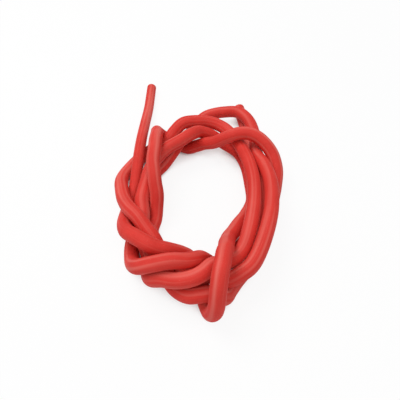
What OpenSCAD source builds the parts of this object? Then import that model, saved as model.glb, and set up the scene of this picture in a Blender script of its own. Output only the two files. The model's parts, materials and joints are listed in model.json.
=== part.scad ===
// Rubber vacuum tubing: one thick-walled rubber tube, laid as a loose wrapped hank.
// Millimetres, +Z up, lying on z = 0, centred on its own box, loose end towards +Y.

/* [Tube] */
// Outside diameter of the tube
tube_od = 6; // [5.6:0.1:6]
// Diameter of the bore
bore_d = 3; // [2:0.1:3.4]
// Outside diameter of the free end, which is drawn thinner
free_od = 5.2; // [4.8:0.1:5.6]
// Length of the straight cut at each end
end_l = 12; // [8:1:14]
// Width of the worn edge round each cut
edge_w = 0.4; // [0.2:0.1:0.6]

/* [Hank] */
// Width of the hank's middle line
coil_w = 53; // [53:1:58]
// Length of the hank's middle line
coil_l = 86; // [86:1:94]
// Room left between strands that lie together
strand_gap = 0.4; // [0.4:0.05:0.7]
// Length of the loose end that leaves the hank
free_l = 64; // [58:1:90]
// Length of the end that is tucked into the hank
tuck_l = 39.5; // [36:0.5:40]
// Lean of the tucked end towards the loose one, in degrees
tuck_lean = 8.5; // [7.5:0.5:9.5]

/* [Hidden] */

rubber_red = [0.84, 0.25, 0.22];
// Sides of the swept tube and of its bore, and the most that it turns between two rings
outer_sides = 12;
bore_sides = 8;
ring_turn = 20;
// How far the swept wall stays inside the round wall of a cut end, and how far it runs into it
skin = 0.03;
lap = 1;
end_fn = 48;
// How far the loose end still lies level past its round end, and the roll of the first ring
level_l = 5;
ring_roll = 10;
// Distance from one strand's middle to the next one's
step = tube_od + strand_gap;
// The thin end swells to the full size between these two clock angles
thin_at = 171;
full_at = 195;

// The lay, one turn after another: clock angle, steps out from the middle line, steps up from the table
lay = [
    // Down the left side, under the outer strand and over the bundle
    [151, 0.9, 1.05], [161, 0.62, 0.8], [171, 0.52, 0.33], [179, 0.66, 0.05], [188, 0.85, 0.05],
    [195, 0.9, 0.5], [200, 0.93, 0.9], [206, 0.92, 1.35], [212, 0.82, 1.85], [219, 0.5, 2.25],
    [226, 0.2, 2.4], [231, -0.18, 2.2], [236, -0.7, 1.88], [242, -1.36, 1.15],
    // Under the near bundle
    [249, -1.68, 0.48], [262, -1.32, 0.04], [270, -0.5, 0], [272.5, 0.2, 0], [273.5, 0.75, 0.02],
    // Back over it as the wrap at the front
    [275, 1.43, 0.26], [276.5, 1.71, 0.95], [277.5, 1.63, 1.82], [279, 1.2, 2.6], [282, 0.6, 3.05],
    [286, 0.1, 3.1], [292, -0.45, 2.92], [297, -0.7, 2.68], [304, -1.1, 2.15], [311, -1.34, 1.6],
    [318, -1.51, 1.12], [328, -1.5, 0.65], [338, -1.35, 0.3],
    // Up the right side on the table, then over the inside of the far bundle
    [348, -0.95, 0.08], [360, -0.48, 0], [374, -0.36, 0], [390, -0.1, 0], [405, 0.03, 0.05],
    [420, -0.3, 0.25], [434, -0.7, 0.9], [450, -1.1, 1.42], [465, -1.52, 1.74], [479, -1.7, 1.88],
    [492, -1.5, 1.75], [503, -0.95, 1.5], [513, -0.55, 1.2],
    // Down the left side in the middle
    [524, -0.4, 1.05], [532, -0.42, 1.03], [540, -0.35, 1.05], [548, -0.27, 1.12], [556, -0.3, 1.08],
    [565, -0.1, 0.95], [572, 0.05, 0.78], [579, 0.05, 0.6], [586, 0.18, 0.4],
    // Along the near bundle, on top
    [593, 0.67, 0.52], [600, 0.93, 1.13], [607, 0.74, 1.68], [615, 0.55, 1.9], [623, 0.3, 2.02],
    [631, 0, 2.12], [640, -0.4, 2.12], [648, -0.45, 1.9], [657, -0.42, 1.62],
    // Up the right side as the inner strand on top
    [666, -0.34, 1.43], [678, -0.4, 1.45], [700, -0.58, 1.62], [720, -0.57, 1.66], [738, -0.5, 1.6],
    [754, -0.35, 1.42], [768, -0.1, 1.25], [781, 0.2, 1.15],
    // Through the middle of the far bundle
    [790, 0.35, 1.15], [801, 0.27, 1.32], [815, 0.05, 1.52], [828, 0.05, 1.57], [838, 0.05, 1.15],
    [844, 0, 0.88], [849, 0.08, 0.66], [854, 0.45, 0.4],
    // Round the outside of the left side and in across it
    [861, 0.95, 0.12], [869, 1.3, 0], [880, 1.55, 0.1], [889, 1.52, 0.45], [899, 1.15, 0.95],
    [908, 0.83, 1.32], [917, 0.43, 1.75], [925, 0, 1.97], [932, -0.25, 1.8], [939, -0.46, 1.54],
    [946, -0.48, 1.2], [953, -0.33, 0.98], [960, -0.06, 0.84], [967, 0.25, 0.76],
    // Along the near bundle, low at the front
    [975, 0.56, 0.8], [983, 0.78, 0.98], [990, 0.72, 1.08], [997, 0.72, 1.08], [1004, 0.91, 0.55],
    [1011, 0.5, 0.12], [1019, 0.25, 0.02],
    // Up the right side, outside, on the table
    [1031, 0.2, 0], [1048, 0.4, 0], [1066, 0.62, 0], [1080, 0.9, 0.08],
    // Over the far bundle from outside to inside
    [1088, 1.22, 0.35], [1096, 1.5, 0.88], [1104, 1.45, 1.5], [1111, 1, 2.1], [1117, 0.42, 2.4],
    [1122, -0.3, 2.35], [1127, -1.08, 2], [1136, -1.68, 1.42], [1155, -1.82, 0.93], [1180, -1.62, 0.46],
    // Under the far bundle and back up round one strand
    [1192, -1.1, 0.03], [1198, -0.05, 0], [1201, 0.65, 0.15], [1204, 1, 0.55], [1207.5, 1, 1.12],
    [1212, 0.55, 1.65],
    // Down the left side, inside
    [1218, 0.1, 2.05], [1226, -0.3, 2.35], [1235, -0.65, 2.45], [1245, -0.85, 2.35], [1252, -1.03, 2.1],
    [1258, -1.15, 1.7], [1264, -1.27, 1.2], [1270, -1.18, 0.6], [1276, -1.02, 0.15], [1283, -0.67, 0],
    [1292, -0.6, 0], [1299, -0.72, 0], [1306, -0.82, 0.08], [1314, -0.87, 0.1], [1322, -0.81, 0.12],
    // Through the near bundle in the middle
    [1332, -0.6, 0.52], [1342, -0.42, 0.88], [1352, -0.4, 1], [1361, -0.41, 0.98],
    [1369, 0.28, 1.15], [1378, 0.57, 1.5],
    // Up the right side as the outer strand on top
    [1388, 0.66, 1.65], [1405, 0.5, 1.78], [1423, 0.5, 1.85], [1440, 0.52, 1.87], [1455, 0.49, 1.62],
    [1466, 0.5, 1.22],
    // Out in a bow at the far side and back under
    [1474, 0.75, 1.03], [1485, 1.5, 1], [1496, 2.25, 1.05], [1504, 2.65, 1.07], [1510, 2.95, 0.78],
    [1516, 2.95, 0.45], [1521, 2.65, 0.35], [1526, 2.2, 0.3], [1531, 1.4, 0.3], [1537, 0.45, 0.38],
    [1543, -0.32, 0.62], [1549, -0.75, 0.95], [1556, -1, 1.08],
    // Down the left side on the table
    [1564, -1.05, 1.03], [1575, -1.05, 0.65], [1586, -0.8, 0.12], [1595, -0.5, 0], [1605, -0.42, 0],
    [1615, -0.35, 0], [1624, -0.25, 0], [1630, -0.15, 0], [1636, 0.05, 0], [1643, 0.42, 0],
    [1651, 0.8, 0.02], [1659, 1.06, 0.23],
    // Over the near bundle from outside to inside
    [1666, 1.19, 0.86], [1673, 1.12, 1.75], [1680, 0.6, 2.4], [1687, 0, 2.58], [1695, -0.5, 2.3],
    [1703, -0.95, 1.95], [1710, -1.3, 1.52], [1720, -1.43, 0.95], [1728, -1.25, 0.6], [1737, -1.05, 0.35],
    // Up the right side in the middle, out to the tucked end
    [1748, -0.85, 0.28], [1760, -0.7, 0.44], [1775, -0.3, 0.6], [1790, 0, 0.86], [1805, 0.1, 0.87],
    [1815, 0.42, 0.62], [1825, 0.83, 0.2], [1835, 0.98, 0]
];
// The loose end, from its cut inwards: share of its length, steps up from the table
loose = [[0.6, 0.12], [0.4, 0.55], [0.22, 0.9], [0.1, 1.03]];
// The tucked end, outwards: share of its length; it lies on the table
tucked = [0.22, 0.43];

function unit(v) = v / norm(v);
function xyz(p) = [p.x, p.y, p.z];
function ease(t) = let (s = min(1, max(0, t))) s * s * (3 - 2 * s);

// One row of the lay as a place, with the tube's radius there as a fourth number
function radius_at(angle) =
    (free_od + (tube_od - free_od) * ease((angle - thin_at) / (full_at - thin_at))) / 2;
function place(row) =
    let (
        oval = [coil_w / 2 * cos(row[0]), coil_l / 2 * sin(row[0])],
        outward = unit([coil_l * cos(row[0]), coil_w * sin(row[0])]),
        flat = oval + outward * row[1] * step
    )
    [flat.x, flat.y, tube_od / 2 + row[2] * step, radius_at(row[0])];

// Both ends run straight, level and on the table where they are cut
lay_places = [for (row = lay) place(row)];
first = lay_places[0];
last = lay_places[len(lay) - 1];
tuck_way = [-sin(tuck_lean), cos(tuck_lean), 0];
function on_free(along, height) = [first.x, first.y + along, height, free_od / 2];
function on_tuck(along) = [each [last.x, last.y, tube_od / 2] + tuck_way * along, tube_od / 2];
free_tip = on_free(free_l, free_od / 2);
tuck_tip = on_tuck(tuck_l);

// The sweep starts and stops a lap inside the cut ends; the two tips only steer it
knots = [
    free_tip,
    for (back = [-lap, level_l]) on_free(free_l - end_l - back, free_od / 2),
    for (row = loose) on_free(row[0] * free_l, tube_od / 2 + row[1] * step),
    each lay_places,
    for (share = tucked) on_tuck(share * tuck_l),
    on_tuck(tuck_l - end_l + lap),
    tuck_tip
];
spans = len(knots) - 3;

// A smooth curve through the knots: its place and its direction, t along span i
function on_curve(i, t) =
    let (a = knots[i], b = knots[i + 1], c = knots[i + 2], d = knots[i + 3])
    b + t / 2 * (c - a + t * (2 * a - 5 * b + 4 * c - d + t * (3 * (b - c) + d - a)));
function along_curve(i, t) =
    let (a = knots[i], b = knots[i + 1], c = knots[i + 2], d = knots[i + 3])
    unit(xyz(c - a + t * (2 * (2 * a - 5 * b + 4 * c - d) + t * 3 * (3 * (b - c) + d - a))));

// Rings sit closer together where the tube turns more
function rings_in(i) =
    let (ways = [for (t = [0, 0.5, 1]) along_curve(i, t)])
    let (turn = acos(min(1, ways[0] * ways[1])) + acos(min(1, ways[1] * ways[2])))
    max(1, ceil(turn / ring_turn));
stations = [
    for (i = [0 : spans - 1]) let (n = rings_in(i)) for (k = [0 : n - 1]) [i, k / n],
    [spans - 1, 1]
];
places = [for (s = stations) on_curve(s[0], s[1])];
ways = [for (s = stations) along_curve(s[0], s[1])];
rings = len(stations);

// Carries a direction across the bend from one way to the next, without twist
function carry(v, from, to) =
    let (axis = cross(from, to))
    v * (from * to) + cross(axis, v) + axis * (axis * v) / (1 + from * to);
ups = [
    for (
        i = 0, up = [sin(ring_roll), 0, cos(ring_roll)];
        i < rings;
        up = i + 1 < rings ? carry(up, ways[i], ways[i + 1]) : up, i = i + 1
    ) up
];

function ring(i, r, sides) =
    [for (k = [0 : sides - 1])
        let (a = 360 * k / sides)
        xyz(places[i]) + r * (cos(a) * ups[i] + sin(a) * cross(ways[i], ups[i]))];
function bore_r(r) = r * bore_d / tube_od;
outer_points = [for (i = [0 : rings - 1]) each ring(i, places[i][3] - skin, outer_sides)];
bore_points = [
    for (i = [0 : rings - 1])
        each ring(i, bore_r(places[i][3]) / cos(180 / bore_sides) + skin, bore_sides)
];

// Moves the lowest point to the table and the middle of the box over the origin
low = [for (k = [0 : 2]) min([for (p = outer_points) p[k]])];
high = [for (k = [0 : 2]) max([for (p = outer_points) p[k]])];
home = [-(low.x + high.x) / 2, -(low.y + free_tip.y) / 2, -min(low.z, 0)];

// Triangles of the wall, of the bore and of the two flat ends
bore_start = rings * outer_sides;
function outer_at(i, k) = i * outer_sides + k % outer_sides;
function bore_at(i, k) = bore_start + i * bore_sides + k % bore_sides;
wall_faces = [
    for (i = [0 : rings - 2], k = [0 : outer_sides - 1])
        each [
            [outer_at(i, k), outer_at(i + 1, k), outer_at(i + 1, k + 1)],
            [outer_at(i, k), outer_at(i + 1, k + 1), outer_at(i, k + 1)]
        ]
];
bore_faces = [
    for (i = [0 : rings - 2], k = [0 : bore_sides - 1])
        each [
            [bore_at(i, k), bore_at(i + 1, k + 1), bore_at(i + 1, k)],
            [bore_at(i, k), bore_at(i, k + 1), bore_at(i + 1, k + 1)]
        ]
];
// A quarter of a flat end joins three sides of the wall to two sides of the bore
function end_faces(i) = [
    for (q = [0 : 3])
        let (o = 3 * q, b = 2 * q)
        each [
            [outer_at(i, o), outer_at(i, o + 1), bore_at(i, b)],
            [bore_at(i, b), outer_at(i, o + 1), bore_at(i, b + 1)],
            [outer_at(i, o + 1), outer_at(i, o + 2), bore_at(i, b + 1)],
            [bore_at(i, b + 1), outer_at(i, o + 2), bore_at(i, b + 2)],
            [outer_at(i, o + 2), outer_at(i, o + 3), bore_at(i, b + 2)]
        ]
];
function turned(faces) = [for (f = faces) [f[2], f[1], f[0]]];

module swept_tube() {
    polyhedron(
        points = concat(outer_points, bore_points),
        faces = concat(wall_faces, bore_faces, end_faces(0), turned(end_faces(rings - 1)))
    );
}

// A straight round end with its edge worn, its cut facing away from the tube
module cut_end(tip, lean, od) {
    r = od / 2;
    translate(xyz(tip))
        rotate([90, 0, lean])
            rotate_extrude($fn = end_fn)
                polygon([
                    [bore_r(r), 0],
                    [r - edge_w, 0],
                    [r, edge_w],
                    [r, end_l],
                    [bore_r(r), end_l]
                ]);
}

module tubing() {
    color(rubber_red)
        translate(home)
            union() {
                swept_tube();
                cut_end(free_tip, 0, free_od);
                cut_end(tuck_tip, tuck_lean, tube_od);
            }
}

tubing();
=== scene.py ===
"""Looks of a hank of red rubber vacuum tubing: the smooth tube, its rubber, the table and the light."""

import json
import math
from typing import NamedTuple

import bpy
from bpy.props import FloatProperty, FloatVectorProperty, IntProperty, PointerProperty
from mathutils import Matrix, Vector


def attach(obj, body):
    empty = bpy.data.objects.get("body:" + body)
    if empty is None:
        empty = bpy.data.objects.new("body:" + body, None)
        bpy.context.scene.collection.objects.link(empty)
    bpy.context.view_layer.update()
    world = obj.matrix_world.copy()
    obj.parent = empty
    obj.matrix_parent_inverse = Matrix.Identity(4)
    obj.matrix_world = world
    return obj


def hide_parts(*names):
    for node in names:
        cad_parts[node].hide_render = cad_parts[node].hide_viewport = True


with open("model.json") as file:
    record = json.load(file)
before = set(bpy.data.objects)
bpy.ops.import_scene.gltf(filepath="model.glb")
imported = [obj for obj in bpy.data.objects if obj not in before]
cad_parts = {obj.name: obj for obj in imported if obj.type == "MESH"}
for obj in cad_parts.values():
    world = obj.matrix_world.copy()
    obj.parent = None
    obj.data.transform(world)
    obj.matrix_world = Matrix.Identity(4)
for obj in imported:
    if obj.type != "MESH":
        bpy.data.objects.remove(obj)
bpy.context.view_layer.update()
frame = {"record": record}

bl_info = {
    "name": "Rubber vacuum tubing",
    "version": (1, 0, 0),
    "blender": (4, 5, 0),
    "location": "View3D > Sidebar > Tubing",
    "description": "Lays a thick-walled rubber tube as a loose wrapped hank and lights it on a white table",
    "category": "Add Mesh",
}

IMAGE_PIXELS = 400
SENSOR_WIDTH = 36
NEAREST_SEEN = 0.01
MM = 0.001
# The mesh attribute that tells the rubber where round and along the tube it is
GRAIN = "lengthwise"
# How open to the light the table is where a gap between strands is dark, and where it is fully white
GAP_OPENNESS = (0.1, 0.45)
# The bores' sizes in millimetres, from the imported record
BORES = {mount["name"]: mount["dims"] for mount in frame["record"]["mounts"]}

# The lay, one turn after another: clock angle, steps out from the middle line, steps up from the table
LAY = [
    # Down the left side, under the outer strand and over the bundle
    (151, 0.9, 1.05), (161, 0.62, 0.8), (171, 0.52, 0.33), (179, 0.66, 0.05), (188, 0.85, 0.05),
    (195, 0.9, 0.5), (200, 0.93, 0.9), (206, 0.92, 1.35), (212, 0.82, 1.85), (219, 0.5, 2.25),
    (226, 0.2, 2.4), (231, -0.18, 2.2), (236, -0.7, 1.88), (242, -1.36, 1.15),
    # Under the near bundle
    (249, -1.68, 0.48), (262, -1.32, 0.04), (270, -0.5, 0), (272.5, 0.2, 0), (273.5, 0.75, 0.02),
    # Back over it as the wrap at the front
    (275, 1.43, 0.26), (276.5, 1.71, 0.95), (277.5, 1.63, 1.82), (279, 1.2, 2.6), (282, 0.6, 3.05),
    (286, 0.1, 3.1), (292, -0.45, 2.92), (297, -0.7, 2.68), (304, -1.1, 2.15), (311, -1.34, 1.6),
    (318, -1.51, 1.12), (328, -1.5, 0.65), (338, -1.35, 0.3),
    # Up the right side on the table, then over the inside of the far bundle
    (348, -0.95, 0.08), (360, -0.48, 0), (374, -0.36, 0), (390, -0.1, 0), (405, 0.03, 0.05),
    (420, -0.3, 0.25), (434, -0.7, 0.9), (450, -1.1, 1.42), (465, -1.52, 1.74), (479, -1.7, 1.88),
    (492, -1.5, 1.75), (503, -0.95, 1.5), (513, -0.55, 1.2),
    # Down the left side in the middle
    (524, -0.4, 1.05), (532, -0.42, 1.03), (540, -0.35, 1.05), (548, -0.27, 1.12), (556, -0.3, 1.08),
    (565, -0.1, 0.95), (572, 0.05, 0.78), (579, 0.05, 0.6), (586, 0.18, 0.4),
    # Along the near bundle, on top
    (593, 0.67, 0.52), (600, 0.93, 1.13), (607, 0.74, 1.68), (615, 0.55, 1.9), (623, 0.3, 2.02),
    (631, 0, 2.12), (640, -0.4, 2.12), (648, -0.45, 1.9), (657, -0.42, 1.62),
    # Up the right side as the inner strand on top
    (666, -0.34, 1.43), (678, -0.4, 1.45), (700, -0.58, 1.62), (720, -0.57, 1.66), (738, -0.5, 1.6),
    (754, -0.35, 1.42), (768, -0.1, 1.25), (781, 0.2, 1.15),
    # Through the middle of the far bundle
    (790, 0.35, 1.15), (801, 0.27, 1.32), (815, 0.05, 1.52), (828, 0.05, 1.57), (838, 0.05, 1.15),
    (844, 0, 0.88), (849, 0.08, 0.66), (854, 0.45, 0.4),
    # Round the outside of the left side and in across it
    (861, 0.95, 0.12), (869, 1.3, 0), (880, 1.55, 0.1), (889, 1.52, 0.45), (899, 1.15, 0.95),
    (908, 0.83, 1.32), (917, 0.43, 1.75), (925, 0, 1.97), (932, -0.25, 1.8), (939, -0.46, 1.54),
    (946, -0.48, 1.2), (953, -0.33, 0.98), (960, -0.06, 0.84), (967, 0.25, 0.76),
    # Along the near bundle, low at the front
    (975, 0.56, 0.8), (983, 0.78, 0.98), (990, 0.72, 1.08), (997, 0.72, 1.08), (1004, 0.91, 0.55),
    (1011, 0.5, 0.12), (1019, 0.25, 0.02),
    # Up the right side, outside, on the table
    (1031, 0.2, 0), (1048, 0.4, 0), (1066, 0.62, 0), (1080, 0.9, 0.08),
    # Over the far bundle from outside to inside
    (1088, 1.22, 0.35), (1096, 1.5, 0.88), (1104, 1.45, 1.5), (1111, 1, 2.1), (1117, 0.42, 2.4),
    (1122, -0.3, 2.35), (1127, -1.08, 2), (1136, -1.68, 1.42), (1155, -1.82, 0.93), (1180, -1.62, 0.46),
    # Under the far bundle and back up round one strand
    (1192, -1.1, 0.03), (1198, -0.05, 0), (1201, 0.65, 0.15), (1204, 1, 0.55), (1207.5, 1, 1.12),
    (1212, 0.55, 1.65),
    # Down the left side, inside
    (1218, 0.1, 2.05), (1226, -0.3, 2.35), (1235, -0.65, 2.45), (1245, -0.85, 2.35), (1252, -1.03, 2.1),
    (1258, -1.15, 1.7), (1264, -1.27, 1.2), (1270, -1.18, 0.6), (1276, -1.02, 0.15), (1283, -0.67, 0),
    (1292, -0.6, 0), (1299, -0.72, 0), (1306, -0.82, 0.08), (1314, -0.87, 0.1), (1322, -0.81, 0.12),
    # Through the near bundle in the middle
    (1332, -0.6, 0.52), (1342, -0.42, 0.88), (1352, -0.4, 1), (1361, -0.41, 0.98),
    (1369, 0.28, 1.15), (1378, 0.57, 1.5),
    # Up the right side as the outer strand on top
    (1388, 0.66, 1.65), (1405, 0.5, 1.78), (1423, 0.5, 1.85), (1440, 0.52, 1.87), (1455, 0.49, 1.62),
    (1466, 0.5, 1.22),
    # Out in a bow at the far side and back under
    (1474, 0.75, 1.03), (1485, 1.5, 1), (1496, 2.25, 1.05), (1504, 2.65, 1.07), (1510, 2.95, 0.78),
    (1516, 2.95, 0.45), (1521, 2.65, 0.35), (1526, 2.2, 0.3), (1531, 1.4, 0.3), (1537, 0.45, 0.38),
    (1543, -0.32, 0.62), (1549, -0.75, 0.95), (1556, -1, 1.08),
    # Down the left side on the table
    (1564, -1.05, 1.03), (1575, -1.05, 0.65), (1586, -0.8, 0.12), (1595, -0.5, 0), (1605, -0.42, 0),
    (1615, -0.35, 0), (1624, -0.25, 0), (1630, -0.15, 0), (1636, 0.05, 0), (1643, 0.42, 0),
    (1651, 0.8, 0.02), (1659, 1.06, 0.23),
    # Over the near bundle from outside to inside
    (1666, 1.19, 0.86), (1673, 1.12, 1.75), (1680, 0.6, 2.4), (1687, 0, 2.58), (1695, -0.5, 2.3),
    (1703, -0.95, 1.95), (1710, -1.3, 1.52), (1720, -1.43, 0.95), (1728, -1.25, 0.6), (1737, -1.05, 0.35),
    # Up the right side in the middle, out to the tucked end
    (1748, -0.85, 0.28), (1760, -0.7, 0.44), (1775, -0.3, 0.6), (1790, 0, 0.86), (1805, 0.1, 0.87),
    (1815, 0.42, 0.62), (1825, 0.83, 0.2), (1835, 0.98, 0),
]
# The loose end, from its cut inwards: share of its length, steps up from the table
LOOSE = [(0.6, 0.12), (0.4, 0.55), (0.22, 0.9), (0.1, 1.03)]
# The tucked end, outwards: share of its length; it lies on the table
TUCKED = [0.22, 0.43]


class TubingSizes(bpy.types.PropertyGroup):
    """Sizes of the tube and of the hank that it is laid in."""
    tube_od: FloatProperty(
        name="Outside diameter", description="Outside diameter of the tube",
        default=0.006, min=0.001, precision=4, unit="LENGTH")
    bore_d: FloatProperty(
        name="Bore", description="Diameter of the bore",
        default=2 * BORES["tucked_bore"]["r_mm"] * MM, min=0.0005, precision=4, unit="LENGTH")
    free_od: FloatProperty(
        name="Free end diameter", description="Outside diameter of the free end, which is drawn thinner",
        default=0.0052, min=0.001, precision=4, unit="LENGTH")
    end_l: FloatProperty(
        name="Straight end", description="Length of the straight run at each end",
        default=BORES["tucked_bore"]["length_mm"] * MM, precision=4, unit="LENGTH")
    level_l: FloatProperty(
        name="Level run", description="How far the loose end still lies level past its straight end",
        default=0.005, precision=4, unit="LENGTH")
    edge_w: FloatProperty(
        name="Worn edge", description="Radius of the worn edge round each cut",
        default=0.0004, precision=5, unit="LENGTH")
    lip_w: FloatProperty(
        name="Bore's edge", description="Radius of the worn edge round each bore",
        default=0.0002, precision=5, unit="LENGTH")
    coil_w: FloatProperty(
        name="Hank width", description="Width of the hank's middle line",
        default=0.053, precision=4, unit="LENGTH")
    coil_l: FloatProperty(
        name="Hank length", description="Length of the hank's middle line",
        default=0.086, precision=4, unit="LENGTH")
    strand_gap: FloatProperty(
        name="Strand gap", description="Room left between strands that lie together",
        default=0.0004, precision=5, unit="LENGTH")
    free_l: FloatProperty(
        name="Loose end", description="Length of the loose end that leaves the hank",
        default=0.064, precision=4, unit="LENGTH")
    tuck_l: FloatProperty(
        name="Tucked end", description="Length of the end that is tucked into the hank",
        default=0.0395, precision=4, unit="LENGTH")
    tuck_lean: FloatProperty(
        name="Tucked end's lean", description="Lean of the tucked end towards the loose one",
        default=math.radians(8.5), subtype="ANGLE")
    thin_at: FloatProperty(
        name="Thin up to", description="Clock angle up to which the free end is thin",
        default=math.radians(171), subtype="ANGLE")
    full_at: FloatProperty(
        name="Full from", description="Clock angle from which the tube has its full size",
        default=math.radians(195), subtype="ANGLE")
    sides: IntProperty(
        name="Sides", description="Sides of the smooth tube", default=32, min=12)
    ring_gap: FloatProperty(
        name="Ring spacing", description="Distance between two rings of the smooth tube",
        default=0.001, precision=5, unit="LENGTH")
    bore_every: IntProperty(
        name="Bore spacing", description="How many rings of the wall go to one of the bore",
        default=3, min=1)
    edge_steps: IntProperty(
        name="Edge steps", description="Steps round each worn edge", default=4, min=1)


class RubberLook(bpy.types.PropertyGroup):
    """Colours and finish of the rubber."""
    red: FloatVectorProperty(
        name="Red", description="Colour of the rubber",
        default=(0.71, 0.046, 0.034), size=3, subtype="COLOR")
    deep_red: FloatVectorProperty(
        name="Deep red", description="Colour of the darker lines and clouds",
        default=(0.57, 0.027, 0.020), size=3, subtype="COLOR")
    # One pale colour for the rubber's real dust and for the painted highlight streaks
    dust_and_highlight: FloatVectorProperty(
        name="Dust_and_highlight", description="Colour of the pale streaks and of the dust on the skin",
        default=(0.81, 0.21, 0.17), size=3, subtype="COLOR")
    roughness: FloatProperty(
        name="Roughness", description="Middle roughness of the satin skin",
        default=0.62, min=0, max=1, subtype="FACTOR")
    gloss: FloatProperty(
        name="Gloss", description="Strength of the skin's reflections",
        default=0.17, min=0, max=1, subtype="FACTOR")
    squeeze: FloatProperty(
        name="Line squeeze", description="Scale of the lines along the tube; less makes them longer",
        default=0.06, min=0)


class StageSetup(bpy.types.PropertyGroup):
    """Where the camera and the lights stand, and how the white table shows the shadow."""
    aim: FloatVectorProperty(
        name="Aim", description="Point at the middle of the picture",
        default=(0.0004, -0.0217, 0.0120), size=3, subtype="XYZ", unit="LENGTH")
    distance: FloatProperty(
        name="Distance", description="From the camera to the point it aims at",
        default=0.153, unit="LENGTH")
    elevation: FloatProperty(
        name="Elevation", description="How far the camera looks down",
        default=math.radians(51.2), subtype="ANGLE")
    focal_pixels: FloatProperty(
        name="Focal length", description="Focal length in pixels of the picture", default=368)
    overhead_power: FloatProperty(
        name="Overhead light", description="Power of the light above the far left of the table",
        default=1.62, subtype="POWER")
    overhead_width: FloatProperty(
        name="Overhead width", description="Width of the overhead light", default=0.32, unit="LENGTH")
    overhead_place: FloatVectorProperty(
        name="Overhead place", description="Where the overhead light hangs",
        default=(-0.22, 0.12, 0.5), size=3, subtype="XYZ", unit="LENGTH")
    front_power: FloatProperty(
        name="Front light", description="Power of the wide light above the near side",
        default=0.85, subtype="POWER")
    front_width: FloatProperty(
        name="Front width", description="Width of the front light", default=0.4, unit="LENGTH")
    front_place: FloatVectorProperty(
        name="Front place", description="Where the front light hangs",
        default=(0.06, -0.22, 0.55), size=3, subtype="XYZ", unit="LENGTH")
    fill: FloatProperty(
        name="Fill", description="Strength of the white surroundings", default=0.42)
    table_width: FloatProperty(
        name="Table width", description="Width of the square table", default=3, unit="LENGTH")
    table_colour: FloatVectorProperty(
        name="Table colour", description="Colour of the matt table",
        default=(0.9, 0.9, 0.9), size=3, subtype="COLOR")
    near_white: FloatProperty(
        name="White nearby", description="Share of plain white near the hank; the rest shows the shadow",
        default=0.9, min=0, max=1, subtype="FACTOR")
    shadow_reach: FloatProperty(
        name="Shadow reach", description="How far from the middle the shadow shows in full",
        default=0.12, unit="LENGTH")
    white_reach: FloatProperty(
        name="White reach", description="How far from the middle the table turns plain white",
        default=0.5, unit="LENGTH")
    gap_reach: FloatProperty(
        name="Gap reach", description="How near a strand has to be to darken the table in a gap",
        default=0.015, precision=4, unit="LENGTH")


class Ring(NamedTuple):
    """A ring of the tube: its middle, the way along, a direction across it, its radius, the run so far."""
    place: Vector
    way: Vector
    up: Vector
    radius: float
    run: float


def ease(t):
    """Smooth rise from 0 to 1."""
    s = min(1, max(0, t))
    return s * s * (3 - 2 * s)


def lay_knots(sizes):
    """The points that the tube's middle goes through, with its radius as a fourth number."""
    step = sizes.tube_od + sizes.strand_gap
    full_r = sizes.tube_od / 2
    free_r = sizes.free_od / 2

    def on_hank(clock, out, up):
        angle = math.radians(clock)
        oval = Vector((sizes.coil_w / 2 * math.cos(angle), sizes.coil_l / 2 * math.sin(angle)))
        outward = Vector((sizes.coil_l * math.cos(angle), sizes.coil_w * math.sin(angle))).normalized()
        flat = oval + outward * out * step
        fullness = ease((angle - sizes.thin_at) / (sizes.full_at - sizes.thin_at))
        return Vector((flat.x, flat.y, full_r + up * step, free_r + (full_r - free_r) * fullness))

    lay = [on_hank(*row) for row in LAY]
    first = lay[0]
    last = lay[-1]

    def on_free(along, height):
        return Vector((first.x, first.y + along, height, free_r))

    def on_tuck(along):
        return Vector((
            last.x - math.sin(sizes.tuck_lean) * along,
            last.y + math.cos(sizes.tuck_lean) * along,
            full_r, full_r))

    cut_in = sizes.free_l - sizes.end_l
    knots = [on_free(along, free_r) for along in (sizes.free_l, cut_in, cut_in - sizes.level_l)]
    knots += [on_free(share * sizes.free_l, full_r + up * step) for share, up in LOOSE]
    knots += lay
    knots += [on_tuck(share * sizes.tuck_l) for share in TUCKED]
    knots += [on_tuck(sizes.tuck_l - sizes.end_l), on_tuck(sizes.tuck_l)]
    return knots


def on_curve(a, b, c, d, t):
    """A point of the smooth curve through b and c, t of the way between them."""
    return b + t / 2 * (c - a + t * (2 * a - 5 * b + 4 * c - d + t * (3 * (b - c) + d - a)))


def centre_line(sizes):
    """Points along the tube's middle from cut to cut, evenly close, with the radius at each."""
    knots = lay_knots(sizes)

    def count_between(start, stop):
        return max(1, math.ceil((stop - start).length / sizes.ring_gap))

    def straight(start, stop):
        count = count_between(start, stop)
        return [start.lerp(stop, k / count) for k in range(count)]

    line = straight(knots[0], knots[1])
    for i in range(1, len(knots) - 2):
        count = count_between(knots[i], knots[i + 1])
        line += [on_curve(*knots[i - 1:i + 3], k / count) for k in range(count)]
    line += straight(knots[-2], knots[-1])
    line.append(knots[-1])
    return line


def carried(v, start, stop):
    """A direction carried across the bend between two ways, without twist."""
    axis = start.cross(stop)
    return v * start.dot(stop) + axis.cross(v) + axis * axis.dot(v) / (1 + start.dot(stop))


def rings_along(line):
    """A ring of the wall for each point of the line."""
    places = [p.xyz for p in line]
    rings = []
    up = Vector((0, 0, 1))
    run = 0
    for i, place in enumerate(places):
        ahead = places[min(i + 1, len(places) - 1)]
        behind = places[max(i - 1, 0)]
        way = (ahead - behind).normalized()
        if rings:
            up = carried(up, rings[-1].way, way).normalized()
            run += (place - places[i - 1]).length
        rings.append(Ring(place, way, up, line[i].w, run))
    return rings


def rounded_edge(cut, outward, radius, edge, steps):
    """Rings round a cut's edge, from the flat face to the wall; a bore's edge is given below zero."""
    rings = []
    for k in range(steps + 1):
        turn = math.pi / 2 * k / steps
        back = abs(edge) * (1 - math.cos(turn))
        inset = edge * (1 - math.sin(turn))
        rings.append(cut._replace(place=cut.place - outward * back, radius=radius - inset))
    return rings


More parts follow.
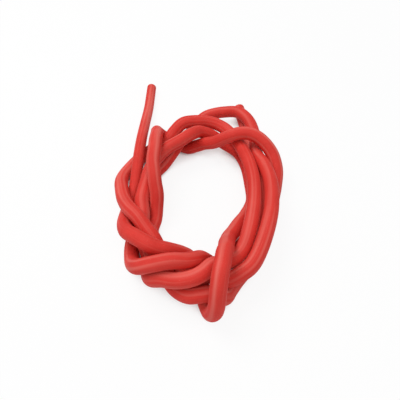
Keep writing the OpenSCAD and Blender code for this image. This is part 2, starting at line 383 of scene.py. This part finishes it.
def tube_rings(sizes):
    """All rings in one round, along the wall and back through the bore, and the points of the middle."""
    along = rings_along(centre_line(sizes))
    share = sizes.bore_d / sizes.tube_od
    head = along[0]
    tail = along[-1]

    def outer_edge(cut, outward):
        return rounded_edge(cut, outward, cut.radius, sizes.edge_w, sizes.edge_steps)

    def bore_edge(cut, outward):
        return rounded_edge(cut, outward, cut.radius * share, -sizes.lip_w, sizes.edge_steps)

    # The wall and the bore start where the rounding of the outer edges ends
    wall = [ring for ring in along if sizes.edge_w < ring.run < tail.run - sizes.edge_w]
    bore = [ring._replace(radius=ring.radius * share) for ring in wall[::sizes.bore_every]]
    rings = outer_edge(head, -head.way)
    rings += wall
    rings += reversed(outer_edge(tail, tail.way))
    rings += bore_edge(tail, tail.way)
    rings += reversed(bore)
    rings += reversed(bore_edge(head, -head.way))
    return rings, [ring.place for ring in along]


def tube_mesh(sizes):
    """The hollow tube as one closed mesh, and the points of its middle, both over the origin."""
    rings, path = tube_rings(sizes)
    sides = sizes.sides
    points = []
    grain = []
    for ring in rings:
        side = ring.way.cross(ring.up)
        for k in range(sides):
            turn = 2 * math.pi * k / sides
            points.append(ring.place + ring.radius * (math.cos(turn) * ring.up + math.sin(turn) * side))
            grain.append((math.cos(turn), math.sin(turn), ring.run / sizes.tube_od))
    low = Vector([min(p[k] for p in points) for k in range(3)])
    high = Vector([max(p[k] for p in points) for k in range(3)])
    home = Vector((-(low.x + high.x) / 2, -(low.y + high.y) / 2, -low.z))
    faces = []
    for i in range(len(rings)):
        here = i * sides
        there = (i + 1) % len(rings) * sides
        for k in range(sides):
            n = (k + 1) % sides
            faces.append((here + k, here + n, there + n, there + k))
    mesh = bpy.data.meshes.new("tubing_skin")
    mesh.from_pydata([p + home for p in points], [], faces)
    lengthwise = mesh.attributes.new(GRAIN, "FLOAT_VECTOR", "POINT")
    lengthwise.data.foreach_set("vector", [x for g in grain for x in g])
    mesh.shade_smooth()
    mesh.update()
    return mesh, [p + home for p in path]


class NodeBench:
    """Adds and joins the nodes of one material or world."""

    def __init__(self, owner):
        owner.use_nodes = True
        self.owner = owner
        self.tree = owner.node_tree
        self.tree.nodes.clear()

    def add(self, kind, label, **settings):
        """A new node with a label and its settings."""
        node = self.tree.nodes.new(kind)
        node.label = label
        for key, value in settings.items():
            setattr(node, key, value)
        return node

    def feed(self, source, target):
        """Gives an input another node's output, or a plain value."""
        if isinstance(source, bpy.types.NodeSocket):
            self.tree.links.new(source, target)
        else:
            target.default_value = source


def noise(bench, label, vector, scale, detail, roughness=0.5):
    """A noise texture on the given coordinates."""
    node = bench.add("ShaderNodeTexNoise", label)
    bench.feed(scale, node.inputs["Scale"])
    bench.feed(detail, node.inputs["Detail"])
    bench.feed(roughness, node.inputs["Roughness"])
    bench.feed(vector, node.inputs["Vector"])
    return node.outputs["Fac"]


def ranged(bench, label, value, given, wanted):
    """A value mapped from the given range to the wanted one, held at both ends."""
    node = bench.add("ShaderNodeMapRange", label)
    for name, limits in (("From", given), ("To", wanted)):
        bench.feed(limits[0], node.inputs[f"{name} Min"])
        bench.feed(limits[1], node.inputs[f"{name} Max"])
    bench.feed(value, node.inputs["Value"])
    return node.outputs["Result"]


def combined(bench, label, operation, first, second):
    """One value worked out from two."""
    node = bench.add("ShaderNodeMath", label, operation=operation)
    bench.feed(first, node.inputs[0])
    bench.feed(second, node.inputs[1])
    return node.outputs["Value"]


def mixed(bench, label, factor, first, second):
    """A colour mixed from two."""
    node = bench.add("ShaderNodeMix", label, data_type="RGBA")
    bench.feed(factor, node.inputs["Factor"])
    colour_inputs = [s for s in node.inputs if s.type == "RGBA"]
    bench.feed(first, colour_inputs[0])
    bench.feed(second, colour_inputs[1])
    return [s for s in node.outputs if s.type == "RGBA"][0]


def relief(bench, label, height, strength, depth):
    """A bump node of the given strength and depth."""
    node = bench.add("ShaderNodeBump", label)
    bench.feed(strength, node.inputs["Strength"])
    bench.feed(depth, node.inputs["Distance"])
    bench.feed(height, node.inputs["Height"])
    return node


def rubber_skin(look):
    """Satin red rubber: soft clouds, lines and painted highlight streaks along the tube and a little dust.
    """
    bench = NodeBench(bpy.data.materials.new("red_rubber"))
    place = bench.add("ShaderNodeTexCoord", "place on the tube").outputs["Object"]
    along = bench.add("ShaderNodeAttribute", "round and along", attribute_name=GRAIN)
    squeeze = bench.add("ShaderNodeMapping", "drawn out lengthwise")
    bench.feed((1, 1, look.squeeze), squeeze.inputs["Scale"])
    bench.feed(along.outputs["Vector"], squeeze.inputs["Vector"])
    drawn_out = squeeze.outputs["Vector"]

    clouds = noise(bench, "clouds", place, scale=90, detail=3)
    lines = noise(bench, "drawing lines", drawn_out, scale=7, detail=4, roughness=0.6)
    # Painted highlight: pale streaks along the tube that stand in for narrow highlights
    painted_highlight_streaks = noise(bench, "pale streaks", drawn_out, scale=1.7, detail=1)
    dust = noise(bench, "dust", place, scale=2600, detail=2, roughness=0.7)
    pores = noise(bench, "pores", place, scale=4200, detail=2)

    # What lies over the plain red, in order: its pattern, the range of it that shows, most depth, colour
    layers = (
        ("clouds", clouds, (0.35, 0.7), 0.55, look.deep_red),
        ("lines", lines, (0.45, 0.75), 0.35, look.deep_red),
        # Painted highlight: the pale streaks lighten the red where narrow highlights would run along the
        # tube
        ("painted_highlight_streaks", painted_highlight_streaks, (0.48, 0.75), 0.5, look.dust_and_highlight),
        ("dust", dust, (0.62, 0.78), 0.45, look.dust_and_highlight),
    )
    skin = (*look.red, 1)
    for name, pattern, shown, most, colour in layers:
        depth = ranged(bench, f"depth of the {name}", pattern, shown, (0, most))
        skin = mixed(bench, f"red with {name}", depth, skin, (*colour, 1))

    shader = bench.add("ShaderNodeBsdfPrincipled", "rubber")
    bench.feed(skin, shader.inputs["Base Color"])
    smoothest = look.roughness - 0.05
    roughest = look.roughness + 0.07
    bench.feed(
        ranged(bench, "uneven satin", clouds, (0.3, 0.7), (smoothest, roughest)),
        shader.inputs["Roughness"])
    bench.feed(look.gloss, shader.inputs["Specular IOR Level"])

    line_relief = relief(bench, "line relief", lines, strength=0.12, depth=0.0002)
    pore_relief = relief(bench, "pore relief", pores, strength=0.1, depth=0.0001)
    bench.feed(line_relief.outputs["Normal"], pore_relief.inputs["Normal"])
    bench.feed(pore_relief.outputs["Normal"], shader.inputs["Normal"])

    out = bench.add("ShaderNodeOutputMaterial", "surface")
    bench.feed(shader.outputs["BSDF"], out.inputs["Surface"])
    return bench.owner


def background_look(bench):
    """1 for what the camera, a gloss or a glass sees as background, and 0 for plain light."""
    rays = bench.add("ShaderNodeLightPath", "what is looking").outputs
    gloss = combined(bench, "gloss or glass", "MAXIMUM", rays["Is Glossy Ray"], rays["Is Transmission Ray"])
    return combined(bench, "camera, gloss or glass", "MAXIMUM", rays["Is Camera Ray"], gloss)


def white_room(fill):
    """White surroundings that are seen as white and give a weaker light."""
    bench = NodeBench(bpy.data.worlds.new("white_room"))
    strength = combined(bench, "white or fill", "MAXIMUM", background_look(bench), fill)
    sky = bench.add("ShaderNodeBackground", "white walls")
    bench.feed((1, 1, 1, 1), sky.inputs["Color"])
    bench.feed(strength, sky.inputs["Strength"])
    out = bench.add("ShaderNodeOutputWorld", "surroundings")
    bench.feed(sky.outputs["Background"], out.inputs["Surface"])
    return bench.owner


def white_table(setup):
    """A matt table that is seen as white, but for a faint shadow and the dark between strands."""
    bench = NodeBench(bpy.data.materials.new("white_table"))
    matt = bench.add("ShaderNodeBsdfDiffuse", "matt white")
    bench.feed((*setup.table_colour, 1), matt.inputs["Color"])
    plain = bench.add("ShaderNodeEmission", "plain white")

    away = bench.add("ShaderNodeVectorMath", "way from the middle", operation="LENGTH")
    bench.feed(bench.add("ShaderNodeTexCoord", "place on the table").outputs["Object"], away.inputs[0])
    whiter = ranged(
        bench, "whiter further out", away.outputs["Value"],
        (setup.shadow_reach, setup.white_reach), (setup.near_white, 1))
    gap = bench.add("ShaderNodeAmbientOcclusion", "open to the light")
    bench.feed(setup.gap_reach, gap.inputs["Distance"])
    clear = ranged(bench, "dark between strands", gap.outputs["AO"], GAP_OPENNESS, (0, 1))
    white = combined(bench, "white where open", "MULTIPLY", whiter, clear)
    share = combined(bench, "share of plain white", "MULTIPLY", background_look(bench), white)

    mix = bench.add("ShaderNodeMixShader", "table")
    bench.feed(share, mix.inputs["Fac"])
    bench.feed(matt.outputs["BSDF"], mix.inputs[1])
    bench.feed(plain.outputs["Emission"], mix.inputs[2])
    out = bench.add("ShaderNodeOutputMaterial", "surface")
    bench.feed(mix.outputs["Shader"], out.inputs["Surface"])
    return bench.owner


def placed(context, name, data):
    """A new object of the scene."""
    made = bpy.data.objects.new(name, data)
    context.scene.collection.objects.link(made)
    return made


class TUBING_OT_tube(bpy.types.Operator):
    """Lay the rubber tube as a hank"""
    bl_idname = "tubing.tube"
    bl_label = "Rubber tube"

    def execute(self, context):
        sizes = context.scene.tubing_sizes
        mesh, path = tube_mesh(sizes)
        tube = placed(context, "rubber_tube", mesh)
        mesh.materials.append(rubber_skin(context.scene.rubber_look))
        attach(tube, "root")
        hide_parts("tubing")
        return {"FINISHED"}


class TUBING_OT_stage(bpy.types.Operator):
    """Set the white table, the light and the camera"""
    bl_idname = "tubing.stage"
    bl_label = "Table, light and camera"

    def execute(self, context):
        setup = context.scene.stage_setup
        self.table(context, setup)
        self.light(context, setup)
        self.camera(context, setup)
        context.scene.view_settings.view_transform = "Standard"
        return {"FINISHED"}

    def table(self, context, setup):
        """The square table that the hank lies on."""
        half = setup.table_width / 2
        mesh = bpy.data.meshes.new("table_top")
        corners = [(-half, -half, 0), (half, -half, 0), (half, half, 0), (-half, half, 0)]
        mesh.from_pydata(corners, [], [(0, 1, 2, 3)])
        mesh.materials.append(white_table(setup))
        placed(context, "table", mesh)

    def soft_lamp(self, context, name, width, power, place):
        """A square lamp that looks at the origin."""
        lamp = bpy.data.lights.new(name, "AREA")
        lamp.shape = "SQUARE"
        lamp.size = width
        lamp.energy = power
        lamp_object = placed(context, name, lamp)
        lamp_object.location = place
        lamp_object.rotation_euler = (-lamp_object.location).to_track_quat("-Z", "Y").to_euler()

    def light(self, context, setup):
        """The two soft lamps and the white surroundings."""
        self.soft_lamp(
            context, "overhead", setup.overhead_width, setup.overhead_power, setup.overhead_place)
        self.soft_lamp(context, "front", setup.front_width, setup.front_power, setup.front_place)
        context.scene.world = white_room(setup.fill)

    def camera(self, context, setup):
        """The camera, standing as in the photo."""
        data = bpy.data.cameras.new("photo_view")
        data.sensor_width = SENSOR_WIDTH
        data.lens = SENSOR_WIDTH * setup.focal_pixels / IMAGE_PIXELS
        data.clip_start = NEAREST_SEEN
        camera = placed(context, "photo_view", data)
        forward = Vector((0, math.cos(setup.elevation), -math.sin(setup.elevation)))
        camera.location = Vector(setup.aim) - forward * setup.distance
        camera.rotation_euler = (math.pi / 2 - setup.elevation, 0, 0)
        context.scene.camera = camera


class TUBING_PT_panel(bpy.types.Panel):
    """Sizes and colours of the tubing"""
    bl_idname = "TUBING_PT_panel"
    bl_label = "Rubber vacuum tubing"
    bl_space_type = "VIEW_3D"
    bl_region_type = "UI"
    bl_category = "Tubing"

    def draw(self, context):
        for group in (context.scene.tubing_sizes, context.scene.rubber_look, context.scene.stage_setup):
            box = self.layout.box()
            for name in group.__annotations__:
                box.prop(group, name)
        self.layout.operator(TUBING_OT_stage.bl_idname)
        self.layout.operator(TUBING_OT_tube.bl_idname)


CLASSES = (
    TubingSizes, RubberLook, StageSetup, TUBING_OT_stage, TUBING_OT_tube, TUBING_PT_panel,
)


def register():
    """Makes the classes known and gives each scene its settings."""
    for cls in CLASSES:
        bpy.utils.register_class(cls)
    bpy.types.Scene.tubing_sizes = PointerProperty(type=TubingSizes)
    bpy.types.Scene.rubber_look = PointerProperty(type=RubberLook)
    bpy.types.Scene.stage_setup = PointerProperty(type=StageSetup)


def unregister():
    """Takes the settings and the classes away again."""
    del bpy.types.Scene.stage_setup
    del bpy.types.Scene.rubber_look
    del bpy.types.Scene.tubing_sizes
    for cls in reversed(CLASSES):
        bpy.utils.unregister_class(cls)


def main():
    """Builds the scene."""
    register()
    bpy.ops.tubing.stage()
    bpy.ops.tubing.tube()


if __name__ == "__main__":
    main()
